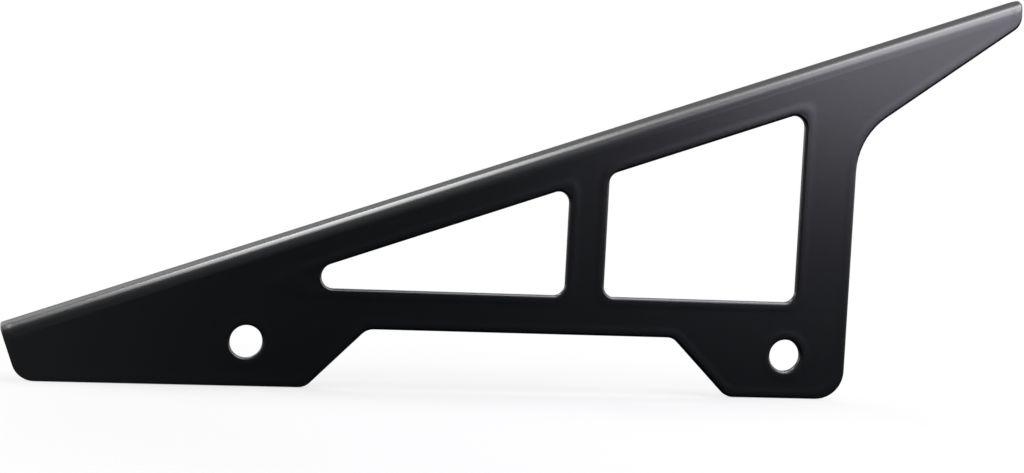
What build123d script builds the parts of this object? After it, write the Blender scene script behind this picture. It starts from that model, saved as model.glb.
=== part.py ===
from build123d import *
from math import cos, radians, sin, tan
import os

# A motorcycle chain guard: one sheet of metal, cut to outline and folded once along its slanted top edge.
# X runs from the front of the motorcycle to the rear along the line of the two bolt holes, Z is up.
# The side plate lies in the XZ plane with its back, which seats on the swingarm, at Y = 0.
# The origin is midway between the bolt holes. All sizes are in millimetres and degrees.

# Sheet and fold
sheet = 2.5  # thickness of the metal
bend_inner_r = 1.5  # inside radius of the fold
lip_depth = 15.0  # from the plate's front face to the free edge of the folded lip
front_edge_r = 0.8  # rounding of the cut edges on the front of the plate and the top of the lip
back_edge = 0.3  # softening of the cut edges on the other side of the sheet
lip_front_corner_r = 1.2
lip_rear_corner_r = 3.0

# Bolt holes
hole_spacing = 170.0
hole_d = 10.0

# Slanted top edge
top_angle = 19.65  # rise of the lip towards the rear
top_height = 55.2  # from the origin square to the outer face of the lip
front_reach = 68.15  # from the front hole to the front end, along the top edge

# Lower edge: two lobes that carry the holes, with an arch between them
lobe_drop = 13.6  # from the hole line down to the lobes' lower edge
arch_rise = 4.7  # from the hole line up to the top of the arch
flank_slope = 45.0  # slope of the arch's two flanks
flank_margin = 18.35  # from each hole to the foot of the flank beside it
arch_corner_r = 5.0
front_corner_r = 7.0
rear_corner_r = 9.0

# Rear post and the arm that rises from it
rear_margin = 19.9  # from the rear hole to the rear edge
arm_root_height = 69.9  # from the hole line up to where the arm leaves the rear edge
arm_root_r = 21.5
tip_reach = 51.9  # from the rear edge to the arm's tip
tip_height = 7.2  # height of the arm's end
tip_skew = 18.0  # lean of the end cut towards the rear, across the lip
tip_corner_r = 5.0

# Windows
sill_height = 16.8  # from the hole line up to the windows' lower edge
rail = 12.0  # from the outer face of the lip down to the windows' upper edge
rear_post = 17.5  # between the rear window and the rear edge
rear_window = 62.25  # length of the rear window
strut = 12.2  # between the two windows
window_corner_r = 3.5
apex_r = 3.85  # at the narrow front end of the triangle

bend_outer_r = bend_inner_r + sheet
hole_x = hole_spacing / 2
rear_edge = hole_x + rear_margin
tip_x = rear_edge + tip_reach
along = Vector(cos(radians(top_angle)), sin(radians(top_angle)))  # up the slanted top edge
square = Vector(-along.Y, along.X)  # square to the top edge, upwards
front_end = -hole_x * along.X - front_reach  # the front end's place along the top edge


def on_slant(place, drop):
    # the point at a place along the top edge, and a drop square below the lip's outer face
    return along * place + square * (top_height - drop)


def slant_at_x(x, drop):
    # the point with a given X, at a drop square below the lip's outer face
    return Vector(x, (top_height - drop - x * square.X) / square.Y)


def slant_at_z(z, drop):
    # the point with a given Z, at a drop square below the lip's outer face
    return Vector((top_height - drop - z * square.Y) / square.X, z)


def rounded_face(corners):
    # a closed outline with straight sides, from corner points that each have their own radius
    outline = make_face(Polyline(*[point for point, radius in corners], close=True))
    for point, radius in corners:
        if radius:
            outline = fillet(outline.vertices().sort_by_distance(point)[0], radius)
    return outline


def plate_outline():
    # the side plate below the fold, with its rear end left long for the end cut
    flank_run = (lobe_drop + arch_rise) / tan(radians(flank_slope))
    foot_x = hole_x - flank_margin
    arch_x = foot_x - flank_run
    front_top = on_slant(front_end, bend_outer_r)
    front_low = front_top - square * ((front_top.Y + lobe_drop) / square.Y)
    arm_root = Vector(rear_edge, arm_root_height)
    tip_low = slant_at_x(tip_x, 0) - Vector(0, tip_height)
    spare_x = tip_x + sheet
    spare_low = arm_root + (tip_low - arm_root) * ((spare_x - rear_edge) / tip_reach)
    return rounded_face([
        (front_top, 0),
        (front_low, front_corner_r),
        (Vector(-foot_x, -lobe_drop), arch_corner_r),
        (Vector(-arch_x, arch_rise), arch_corner_r),
        (Vector(arch_x, arch_rise), arch_corner_r),
        (Vector(foot_x, -lobe_drop), arch_corner_r),
        (Vector(rear_edge, -lobe_drop), rear_corner_r),
        (arm_root, arm_root_r),
        (spare_low, 0),
        (slant_at_x(spare_x, bend_outer_r), 0),
    ])


def window_outlines():
    # a triangle in front of the strut and a four-sided window behind it
    rear_x = rear_edge - rear_post
    strut_rear = rear_x - rear_window
    strut_front = strut_rear - strut
    triangle = rounded_face([
        (slant_at_z(sill_height, rail), apex_r),
        (Vector(strut_front, sill_height), window_corner_r),
        (slant_at_x(strut_front, rail), window_corner_r),
    ])
    four_sided = rounded_face([
        (Vector(strut_rear, sill_height), window_corner_r),
        (Vector(rear_x, sill_height), window_corner_r),
        (slant_at_x(rear_x, rail), window_corner_r),
        (slant_at_x(strut_rear, rail), window_corner_r),
    ])
    return triangle + four_sided


def side_plate():
    holes = Locations((-hole_x, 0), (hole_x, 0)) * Circle(hole_d / 2)
    return extrude(Plane.XZ * (plate_outline() - window_outlines() - holes), sheet)


def folded_lip():
    # the fold and the lip as one section of even thickness, run along the top edge past the end cut
    start = on_slant(front_end, 0)
    lip_end = lip_depth - sheet
    section = make_face(
        RadiusArc((-sheet, -bend_outer_r), (bend_inner_r, 0), bend_outer_r)
        + Polyline((bend_inner_r, 0), (lip_end, 0), (lip_end, -sheet), (bend_inner_r, -sheet))
        + RadiusArc((bend_inner_r, -sheet), (0, -bend_outer_r), -bend_inner_r)
        + Line((0, -bend_outer_r), (-sheet, -bend_outer_r))
    )
    fold_plane = Plane((start.X, 0, start.Y), x_dir=(0, 1, 0), z_dir=(along.X, 0, along.Y))
    run = (tip_x - start.X) / along.X + lip_depth
    return extrude(fold_plane * section, run)


def end_cut(blank):
    # one straight cut across plate, fold and lip at the tip, with its two corners rounded
    lean = radians(tip_skew)
    cut = Plane((tip_x, -sheet, 0), x_dir=(0, 0, 1), z_dir=(cos(lean), -sin(lean), 0))
    trimmed = split(blank, bisect_by=cut, keep=Keep.BOTTOM)
    tip_face = trimmed.faces().filter_by(cut)[0]
    trimmed = fillet(tip_face.edges().sort_by(Axis.Z)[0], tip_corner_r)
    tip_face = trimmed.faces().filter_by(cut)[0]
    return fillet(tip_face.edges().sort_by(Axis.Y)[-1], lip_rear_corner_r)


def front_corner(blank):
    front_face = blank.faces().filter_by(GeomType.PLANE).sort_by(Axis.X)[0]
    return fillet(front_face.edges().sort_by(Axis.Y)[-1], lip_front_corner_r)


def sheet_skins(blank):
    # the front and the back skin of the sheet, each as side plate, lip and fold
    flats = blank.faces().filter_by(GeomType.PLANE).sort_by(SortBy.AREA)[-4:].sort_by(Axis.Y)
    folds = blank.faces().filter_by(GeomType.CYLINDER).sort_by(SortBy.AREA)[-2:]
    plate_front, plate_back = flats[:2]
    lip_inside, lip_outside = flats[2:].sort_by(Axis.Z)
    return [plate_front, lip_outside, folds[1]], [plate_back, lip_inside, folds[0]]


def outline(skin):
    # the outer edge of a skin, without the lines where it enters the fold
    edges = [edge for face in skin for edge in face.outer_wire().edges()]
    return [edge for edge in edges if sum(edge.is_same(other) for other in edges) == 1]


def cutouts(skin):
    # the edges of the windows and bolt holes in a skin's side plate
    return [edge for wire in skin[0].inner_wires() for edge in wire.edges()]


def soften_edges(blank):
    # the front is rounded all over; on the back the outline is rounded and the cutouts are bevelled
    front_skin, back_skin = sheet_skins(blank)
    rounded = fillet(outline(front_skin) + cutouts(front_skin), front_edge_r)
    front_skin, back_skin = sheet_skins(rounded)
    rounded = fillet(outline(back_skin), back_edge)
    front_skin, back_skin = sheet_skins(rounded)
    return chamfer(cutouts(back_skin), back_edge)


blank = side_plate() + folded_lip()
chain_guard = soften_edges(front_corner(end_cut(blank)))

os.makedirs("parts", exist_ok=True)
export_step(chain_guard, "parts/chain_guard.step")
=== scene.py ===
import math
import bpy
import bmesh
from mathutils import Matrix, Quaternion, Vector


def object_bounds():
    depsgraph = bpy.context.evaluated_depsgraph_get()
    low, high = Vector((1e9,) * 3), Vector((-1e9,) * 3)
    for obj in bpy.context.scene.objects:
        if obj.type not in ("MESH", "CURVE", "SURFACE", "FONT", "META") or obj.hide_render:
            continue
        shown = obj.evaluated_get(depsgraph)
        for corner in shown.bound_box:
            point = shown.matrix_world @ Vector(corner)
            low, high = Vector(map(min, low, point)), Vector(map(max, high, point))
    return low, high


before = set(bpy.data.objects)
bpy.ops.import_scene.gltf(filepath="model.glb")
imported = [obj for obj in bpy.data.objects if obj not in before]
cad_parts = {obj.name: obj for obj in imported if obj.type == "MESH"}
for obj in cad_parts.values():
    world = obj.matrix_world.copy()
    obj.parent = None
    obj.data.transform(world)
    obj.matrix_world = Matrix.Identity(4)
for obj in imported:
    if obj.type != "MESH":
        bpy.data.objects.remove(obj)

cadBox = [list(corner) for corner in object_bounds()]
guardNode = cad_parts["chain_guard"]
print("frame loaded, CAD box", cadBox)

# camera
cameraView = {
    "aim": (-0.0049, -0.0025, 0.0347),
    "azimuth": -11.7,      # degrees to the side of the front
    "elevation": 4.6,
    "roll": 2.97,          # the guard leans this much in the picture
    "distance": 0.776,
    "lens": 88.8,          # millimetres, as is the sensor
    "sensor": 36.0,
    "nearClip": 0.01,
    "farClip": 100.0,
}


def fromAim(aim, azimuth, elevation, distance):
    turn = math.radians(azimuth)
    lift = math.radians(elevation)
    reach = Vector((math.sin(turn) * math.cos(lift), -math.cos(turn) * math.cos(lift), math.sin(lift)))
    return Vector(aim) + reach * distance


def placeCamera(values):
    lensData = bpy.data.cameras.new("pictureCamera")
    lensData.lens = values["lens"]
    lensData.sensor_width = values["sensor"]
    lensData.clip_start = values["nearClip"]
    lensData.clip_end = values["farClip"]
    camera = bpy.data.objects.new("pictureCamera", lensData)
    place = fromAim(values["aim"], values["azimuth"], values["elevation"], values["distance"])
    look = (Vector(values["aim"]) - place).to_track_quat("-Z", "Y")
    camera.rotation_mode = "QUATERNION"
    camera.rotation_quaternion = look @ Quaternion((0, 0, 1), math.radians(values["roll"]))
    camera.location = place
    bpy.context.scene.collection.objects.link(camera)
    bpy.context.scene.camera = camera
    print("camera at", [round(v, 4) for v in place])


placeCamera(cameraView)


# short ways to make nodes and meshes
def emptyTree(block):
    block.use_nodes = True
    block.node_tree.nodes.clear()
    return block.node_tree


def feed(tree, socket, source):
    # a socket takes another node's output or a plain value
    if isinstance(source, bpy.types.NodeSocket):
        tree.links.new(source, socket)
    else:
        socket.default_value = source


def objectPlace(tree):
    return tree.nodes.new("ShaderNodeTexCoord").outputs["Object"]


def mathNode(tree, kind, *sources):
    node = tree.nodes.new("ShaderNodeMath")
    node.operation = kind
    for socket, source in zip(node.inputs, sources):
        feed(tree, socket, source)
    return node.outputs["Value"]


def vectorNode(tree, kind, first, second, result="Value"):
    node = tree.nodes.new("ShaderNodeVectorMath")
    node.operation = kind
    feed(tree, node.inputs[0], first)
    feed(tree, node.inputs[1], second)
    return node.outputs[result]


def mapRange(tree, source, fromEnds, toEnds, kind="LINEAR"):
    node = tree.nodes.new("ShaderNodeMapRange")
    node.interpolation_type = kind
    feed(tree, node.inputs["Value"], source)
    node.inputs["From Min"].default_value = fromEnds[0]
    node.inputs["From Max"].default_value = fromEnds[1]
    node.inputs["To Min"].default_value = toEnds[0]
    node.inputs["To Max"].default_value = toEnds[1]
    return node.outputs["Result"]


def noiseNode(tree, place, scale, detail, roughness=0.5):
    noise = tree.nodes.new("ShaderNodeTexNoise")
    noise.inputs["Scale"].default_value = scale
    noise.inputs["Detail"].default_value = detail
    noise.inputs["Roughness"].default_value = roughness
    feed(tree, noise.inputs["Vector"], place)
    return noise.outputs["Fac"]


def bumpNode(tree, height, metres, below=None):
    bump = tree.nodes.new("ShaderNodeBump")
    bump.inputs["Strength"].default_value = 1.0
    bump.inputs["Distance"].default_value = metres
    feed(tree, bump.inputs["Height"], height)
    if below is not None:
        feed(tree, bump.inputs["Normal"], below)
    return bump.outputs["Normal"]


def backgroundRays(tree):
    # 1 where the camera sees a thing, itself or mirrored, and 0 where it only gives light
    path = tree.nodes.new("ShaderNodeLightPath")
    seen = mathNode(tree, "MAXIMUM", path.outputs["Is Camera Ray"], path.outputs["Is Glossy Ray"])
    return mathNode(tree, "MAXIMUM", seen, path.outputs["Is Transmission Ray"])


def sceneMesh(name, shape, paint):
    mesh = bpy.data.meshes.new(name)
    shape.to_mesh(mesh)
    shape.free()
    mesh.materials.append(paint)
    thing = bpy.data.objects.new(name, mesh)
    bpy.context.scene.collection.objects.link(thing)
    return thing


# satin black powder coat
coatValues = {
    "black": (0.0004, 0.0010, 0.0018, 1.0),
    "blackThin": (0.0008, 0.0016, 0.0027, 1.0),
    "patchScale": 35.0,     # slow drift of the coat over the sheet, per metre
    "patchDetail": 3.0,
    "roughLow": 0.275,
    "roughHigh": 0.32,
    "ior": 1.5,
    "gloss": 0.7,
    "peelScale": 420.0,     # orange peel
    "peelDetail": 1.0,
    "peelHeight": 0.000012,
    "grainScale": 2600.0,   # fine grain of the powder
    "grainDetail": 2.0,
    "grainRoughness": 0.6,
    "grainHeight": 0.000003,
}

# the coat draws up into a low bead beside every cut edge, heavier above the windows and on the arm
beadValues = {
    "start": 0.0006,        # metres in from the edge, past its rounding
    "end": 0.0041,
    "height": 0.00007,
    "lowShare": 0.6,        # of that height, below the windows' top edges
    "highShare": 1.05,      # and above them
    "blend": (-0.007, 0.0),
    "shape": ((0.0, 0.2), (0.1, 0.6), (0.2, 0.87), (0.3, 0.99), (0.35, 1.0), (0.45, 0.9),
              (0.6, 0.52), (0.75, 0.17), (0.87, 0.04), (1.0, 0.0)),
}

# the guard's cut edges as the CAD has them, in metres and degrees, for the bead to follow
outlineValues = {
    "slant": 19.65,               # of the folded top edge
    "topHeight": 0.0552,          # from the origin to that edge, square to it
    "rail": 0.012,                # from that edge to both windows
    "frontReach": 0.06815,        # from the front hole to the front end, along the slant
    "holeX": 0.085,
    "holeRadius": 0.005,
    "lobeDrop": 0.0136,           # below the holes' centres
    "archRise": 0.0047,           # above them
    "flankFoot": 0.06665,         # X where the arch runs out on the lobes
    "rearEdge": 0.1049,
    "armRoot": (0.1049, 0.0699),  # X and Z at both ends of the arm's lower edge
    "armTip": (0.1568, 0.1074),
    "tipSkew": 18.0,
    "frontFace": -0.0025,         # Y of the plate's face
    "lipEdge": 0.0125,            # Y of the lip's edge
    "sill": 0.0168,               # Z of both windows' lower edge
    "strutFront": 0.01295,        # X of the upright edges of the windows
    "strutRear": 0.02515,
    "postFront": 0.0874,
    "archRound": 0.005,           # corner radii
    "frontRound": 0.007,
    "rearRound": 0.009,
    "armRound": 0.0215,
    "tipRound": 0.005,
    "windowRound": 0.0035,
    "apexRound": 0.00385,
}

# a smooth meeting of two distances takes a sixth of its width off the corner
smoothValues = {
    "widthPerCut": 6.0,
    "leastWidth": 0.0001,
}


def inFrom(tree, place, facing, point):
    # metres from a straight edge through a point, counted in the direction it faces
    facing = Vector(facing).normalized()
    reach = vectorNode(tree, "DOT_PRODUCT", place, facing)
    return {"metres": mathNode(tree, "SUBTRACT", reach, facing.dot(Vector(point))), "facing": facing}


def roundCorner(tree, first, second, kind, radius=0.0):
    # where two edges meet in a corner of this radius
    half = first["facing"].angle(second["facing"]) / 2
    cut = radius * (1 - math.cos(half))
    width = max(smoothValues["widthPerCut"] * cut, smoothValues["leastWidth"])
    return {"metres": mathNode(tree, kind, first["metres"], second["metres"], width),
            "facing": second["facing"]}


def nearest(tree, reaches):
    least = reaches[0]
    for reach in reaches[1:]:
        least = mathNode(tree, "MINIMUM", least, reach)
    return least


def holeReach(tree, place, x, radius):
    flat = vectorNode(tree, "MULTIPLY", place, (1.0, 0.0, 1.0), "Vector")
    away = vectorNode(tree, "DISTANCE", flat, (x, 0.0, 0.0))
    return mathNode(tree, "SUBTRACT", away, radius)


def railReach(tree, place, values):
    # metres above the edge that both windows share at the top
    slant = math.radians(values["slant"])
    square = Vector((-math.sin(slant), 0, math.cos(slant)))
    return inFrom(tree, place, square, square * (values["topHeight"] - values["rail"]))


def cutEdgeReach(tree, place, values):
    # metres from the nearest cut edge, everywhere on the guard
    slant = math.radians(values["slant"])
    skew = math.radians(values["tipSkew"])
    along = Vector((math.cos(slant), 0, math.sin(slant)))
    frontEnd = along * (-values["holeX"] * along.x - values["frontReach"])
    armRoot = Vector((values["armRoot"][0], 0, values["armRoot"][1]))
    armRun = Vector((values["armTip"][0], 0, values["armTip"][1])) - armRoot
    tipPoint = (values["armTip"][0], values["frontFace"], 0)
    foot = (values["flankFoot"], 0, -values["lobeDrop"])

    front = inFrom(tree, place, along, frontEnd)
    lobes = inFrom(tree, place, (0, 0, 1), foot)
    tip = inFrom(tree, place, (-math.cos(skew), math.sin(skew), 0), tipPoint)
    lip = inFrom(tree, place, (0, -1, 0), (0, values["lipEdge"], 0))
    arch = inFrom(tree, place, (0, 0, 1), (0, 0, values["archRise"]))
    frontFlank = inFrom(tree, place, (-1, 0, 1), (-foot[0], 0, foot[2]))
    rearFlank = inFrom(tree, place, (1, 0, 1), foot)
    rear = inFrom(tree, place, (-1, 0, 0), (values["rearEdge"], 0, 0))
    arm = inFrom(tree, place, (-armRun.z, 0, armRun.x), armRoot)
    sill = inFrom(tree, place, (0, 0, -1), (0, 0, values["sill"]))
    rail = railReach(tree, place, values)
    strutFront = inFrom(tree, place, (1, 0, 0), (values["strutFront"], 0, 0))
    strutRear = inFrom(tree, place, (-1, 0, 0), (values["strutRear"], 0, 0))
    post = inFrom(tree, place, (1, 0, 0), (values["postFront"], 0, 0))

    frontHalf = roundCorner(tree, frontFlank, arch, "SMOOTH_MAX", values["archRound"])
    bothFlanks = roundCorner(tree, frontHalf, rearFlank, "SMOOTH_MAX", values["archRound"])
    lower = roundCorner(tree, bothFlanks, lobes, "SMOOTH_MIN", values["archRound"])
    frontLow = roundCorner(tree, front, lobes, "SMOOTH_MIN", values["frontRound"])
    rearSide = roundCorner(tree, arm, rear, "SMOOTH_MAX", values["armRound"])
    rearLow = roundCorner(tree, rearSide, lobes, "SMOOTH_MIN", values["rearRound"])
    armSide = {"metres": rearSide["metres"], "facing": arm["facing"]}
    armEnd = roundCorner(tree, tip, armSide, "SMOOTH_MIN", values["tipRound"])
    narrow = roundCorner(tree, sill, rail, "SMOOTH_MAX", values["apexRound"])
    triangle = roundCorner(tree, narrow, strutFront, "SMOOTH_MAX", values["windowRound"])
    wide = roundCorner(tree, sill, rail, "SMOOTH_MAX")
    ends = roundCorner(tree, strutRear, post, "SMOOTH_MAX")
    fourSided = roundCorner(tree, wide, ends, "SMOOTH_MAX", values["windowRound"])
    edges = [lip, frontLow, lower, rearLow, armEnd, triangle, fourSided]
    holes = [holeReach(tree, place, side * values["holeX"], values["holeRadius"]) for side in (-1, 1)]
    return nearest(tree, [edge["metres"] for edge in edges] + holes)


def beadRise(tree, place, values, outline):
    reach = cutEdgeReach(tree, place, outline)
    curve = tree.nodes.new("ShaderNodeFloatCurve")
    points = curve.mapping.curves[0].points
    points[0].location = values["shape"][0]
    points[1].location = values["shape"][-1]
    for point in values["shape"][1:-1]:
        points.new(*point)
    curve.mapping.update()
    feed(tree, curve.inputs["Value"], mapRange(tree, reach, (values["start"], values["end"]), (0.0, 1.0)))
    above = railReach(tree, place, outline)["metres"]
    share = mapRange(tree, above, values["blend"], (values["lowShare"], values["highShare"]))
    return mathNode(tree, "MULTIPLY", curve.outputs["Value"], share)


def satinPowderCoat(values, bead, outline):
    coat = bpy.data.materials.new("satinPowderCoat")
    tree = emptyTree(coat)
    out = tree.nodes.new("ShaderNodeOutputMaterial")
    shader = tree.nodes.new("ShaderNodeBsdfPrincipled")
    shader.inputs["Metallic"].default_value = 0.0
    shader.inputs["IOR"].default_value = values["ior"]
    shader.inputs["Specular IOR Level"].default_value = values["gloss"]
    feed(tree, out.inputs["Surface"], shader.outputs["BSDF"])
    place = objectPlace(tree)

    patch = noiseNode(tree, place, values["patchScale"], values["patchDetail"])
    tone = tree.nodes.new("ShaderNodeMix")
    tone.data_type = "RGBA"
    tone.inputs["A"].default_value = values["black"]
    tone.inputs["B"].default_value = values["blackThin"]
    feed(tree, tone.inputs["Factor"], patch)
    feed(tree, shader.inputs["Base Color"], tone.outputs[2])

    grain = noiseNode(tree, place, values["grainScale"], values["grainDetail"], values["grainRoughness"])
    rough = mapRange(tree, grain, (0.0, 1.0), (values["roughLow"], values["roughHigh"]))
    feed(tree, shader.inputs["Roughness"], rough)

    # three layers of relief, one on another
    peel = noiseNode(tree, place, values["peelScale"], values["peelDetail"])
    peeled = bumpNode(tree, peel, values["peelHeight"])
    beaded = bumpNode(tree, beadRise(tree, place, bead, outline), bead["height"], peeled)
    grained = bumpNode(tree, grain, values["grainHeight"], beaded)
    feed(tree, shader.inputs["Normal"], grained)
    return coat


coat = satinPowderCoat(coatValues, beadValues, outlineValues)
for slot in guardNode.material_slots:
    slot.material = coat
print("powder coat on", guardNode.name)

# pale floor, white at a distance, which keeps a faint shadow near the guard
floorValues = {
    "radius": 14.0,
    "segments": 96,
    "gap": 0.0002,                            # between the floor and the guard
    "colour": (0.42, 0.42, 0.42, 1.0),        # near white under these lamps
    "shadowShare": 0.30,                      # how much of the floor's tone comes from the lamps
    "shadowCentre": (-0.02, -0.05, -0.0138),
    "shadowStart": 0.08,                      # metres from there where the shadow begins to fade
    "shadowEnd": 0.20,
}


def floorPaint(values):
    paint = bpy.data.materials.new("paleFloor")
    tree = emptyTree(paint)
    out = tree.nodes.new("ShaderNodeOutputMaterial")
    matt = tree.nodes.new("ShaderNodeBsdfDiffuse")
    matt.inputs["Color"].default_value = values["colour"]
    white = tree.nodes.new("ShaderNodeEmission")
    white.inputs["Strength"].default_value = 1.0
    away = vectorNode(tree, "DISTANCE", objectPlace(tree), values["shadowCentre"])
    fade = mapRange(tree, away, (values["shadowStart"], values["shadowEnd"]),
                    (1.0 - values["shadowShare"], 1.0), "SMOOTHSTEP")
    mix = tree.nodes.new("ShaderNodeMixShader")
    feed(tree, mix.inputs["Fac"], mathNode(tree, "MULTIPLY", backgroundRays(tree), fade))
    feed(tree, mix.inputs[1], matt.outputs["BSDF"])
    feed(tree, mix.inputs[2], white.outputs["Emission"])
    feed(tree, out.inputs["Surface"], mix.outputs["Shader"])
    return paint


def paleFloor(values, height):
    shape = bmesh.new()
    bmesh.ops.create_circle(shape, cap_ends=True, segments=values["segments"], radius=values["radius"])
    bmesh.ops.translate(shape, verts=shape.verts, vec=(0, 0, height))
    floor = sceneMesh("paleFloor", shape, floorPaint(values))
    print("floor at", round(height, 4))


paleFloor(floorValues, cadBox[0][2] - floorValues["gap"])

# studio: white surroundings, soft boxes, and cards that only reflections show
studioValues = {
    "fill": 0.30,          # light from the surroundings
    "white": 1.0,          # their level where they are seen
}
softBoxes = {
    "topBox": {"place": (-0.231, 0.596, 0.85), "aim": (-0.231, 0.596, 0.0), "size": (0.298, 1.199),
               "power": 8.3, "colour": (1.0, 1.0, 1.0)},
    "endBox": {"place": (0.456, -0.04, 0.85), "aim": (0.456, -0.04, 0.0), "size": (0.836, 0.928),
               "power": 17.9, "colour": (0.96, 0.94, 1.0)},
    "frontBox": {"place": (0.217, -0.28, 0.304), "aim": (-0.25, 0.0, 0.234), "size": (0.248, 0.471),
                 "power": 1.37, "colour": (0.89, 0.87, 1.0)},
    "rightBox": {"place": (0.9, -0.25, 0.25), "aim": (0.1, 0.0, 0.05), "size": (0.25, 0.6),
                 "power": 1.9, "colour": (1.0, 1.0, 1.0)},
}
# the darker a card's level, the blacker the coat that mirrors it
toneCards = {
    "frontCard": {"level": 0.02, "corners": ((-0.1, -1.5, -0.01), (1.0, -1.5, -0.01),
                                             (1.0, -1.5, 1.6), (-0.1, -1.5, 1.6))},
    "sideCard": {"level": 0.30, "corners": ((-0.4, -1.5, -0.01), (-0.1, -1.5, -0.01),
                                            (-0.1, -1.5, 1.6), (-0.4, -1.5, 1.6))},
    "glowCard": {"level": 0.15, "corners": ((-1.6, -1.5, -0.01), (-0.4, -1.5, -0.01),
                                            (-0.4, -1.5, 1.6), (-1.6, -1.5, 1.6))},
    "leftCard": {"level": 0.3, "corners": ((-1.6, -1.5, -0.01), (-1.6, 0.2, -0.01),
                                           (-1.6, 0.2, 1.6), (-1.6, -1.5, 1.6))},
    "upperCard": {"level": 0.55, "corners": ((0.05, -1.49, 1.05), (1.0, -1.49, 1.05),
                                             (1.0, -0.95, 1.59), (0.05, -0.95, 1.59))},
    "roofCard": {"level": 0.28, "corners": ((-1.6, -1.5, 1.6), (1.0, -1.5, 1.6),
                                            (1.0, 0.2, 1.6), (-1.6, 0.2, 1.6))},
    "backCard": {"level": 0.2, "corners": ((-0.9, 1.2, 0.3), (-0.15, 1.2, 0.2), (0.1, 1.2, 0.17),
                                           (1.6, 1.2, 0.22), (1.6, 1.2, 0.75), (-0.9, 1.2, 0.75))},
    "highCard": {"level": 0.8, "corners": ((-0.9, 1.2, 0.75), (1.6, 1.2, 0.75),
                                           (1.6, 1.2, 1.8), (-0.9, 1.2, 1.8))},
    "floorCard": {"level": 0.0, "corners": ((-1.2, -1.5, -0.0137), (1.0, -1.5, -0.0137),
                                            (1.0, 0.05, -0.0137), (-1.2, 0.05, -0.0137)),
                  "leftLevel": 0.38, "fade": (-0.34, -0.03)},      # paler under the front end
    "rearCard": {"level": 0.15, "corners": ((-1.2, 0.05, -0.0137), (1.0, 0.05, -0.0137),
                                            (1.0, 1.2, -0.0137), (-1.2, 1.2, -0.0137))},
}


def studioWorld(values):
    world = bpy.data.worlds.new("studio")
    bpy.context.scene.world = world
    tree = emptyTree(world)
    out = tree.nodes.new("ShaderNodeOutputWorld")
    back = tree.nodes.new("ShaderNodeBackground")
    back.inputs["Color"].default_value = (1.0, 1.0, 1.0, 1.0)
    level = mapRange(tree, backgroundRays(tree), (0.0, 1.0), (values["fill"], values["white"]))
    feed(tree, back.inputs["Strength"], level)
    feed(tree, out.inputs["Surface"], back.outputs["Background"])


def softBox(name, values):
    lamp = bpy.data.lights.new(name, "AREA")
    lamp.shape = "RECTANGLE"
    lamp.size, lamp.size_y = values["size"]
    lamp.energy = values["power"]
    lamp.color = values["colour"]
    box = bpy.data.objects.new(name, lamp)
    box.location = values["place"]
    look = Vector(values["aim"]) - Vector(values["place"])
    box.rotation_euler = look.to_track_quat("-Z", "Y").to_euler()
    box.visible_camera = False
    bpy.context.scene.collection.objects.link(box)


def cardPaint(name, values):
    paint = bpy.data.materials.new(name)
    tree = emptyTree(paint)
    out = tree.nodes.new("ShaderNodeOutputMaterial")
    tone = tree.nodes.new("ShaderNodeEmission")
    tone.inputs["Strength"].default_value = values["level"]
    feed(tree, out.inputs["Surface"], tone.outputs["Emission"])
    if "fade" in values:
        apart = tree.nodes.new("ShaderNodeSeparateXYZ")
        feed(tree, apart.inputs["Vector"], objectPlace(tree))
        level = mapRange(tree, apart.outputs["X"], values["fade"],
                         (values["leftLevel"], values["level"]), "SMOOTHSTEP")
        feed(tree, tone.inputs["Strength"], level)
    return paint


def toneCard(name, values):
    shape = bmesh.new()
    shape.faces.new([shape.verts.new(point) for point in values["corners"]])
    card = sceneMesh(name, shape, cardPaint(name, values))
    card.visible_camera = False
    card.visible_diffuse = False
    card.visible_shadow = False


studioWorld(studioValues)
for name, values in softBoxes.items():
    softBox(name, values)
for name, values in toneCards.items():
    toneCard(name, values)
print("studio lit by", ", ".join(softBoxes))

bpy.context.scene.view_settings.view_transform = "Standard"
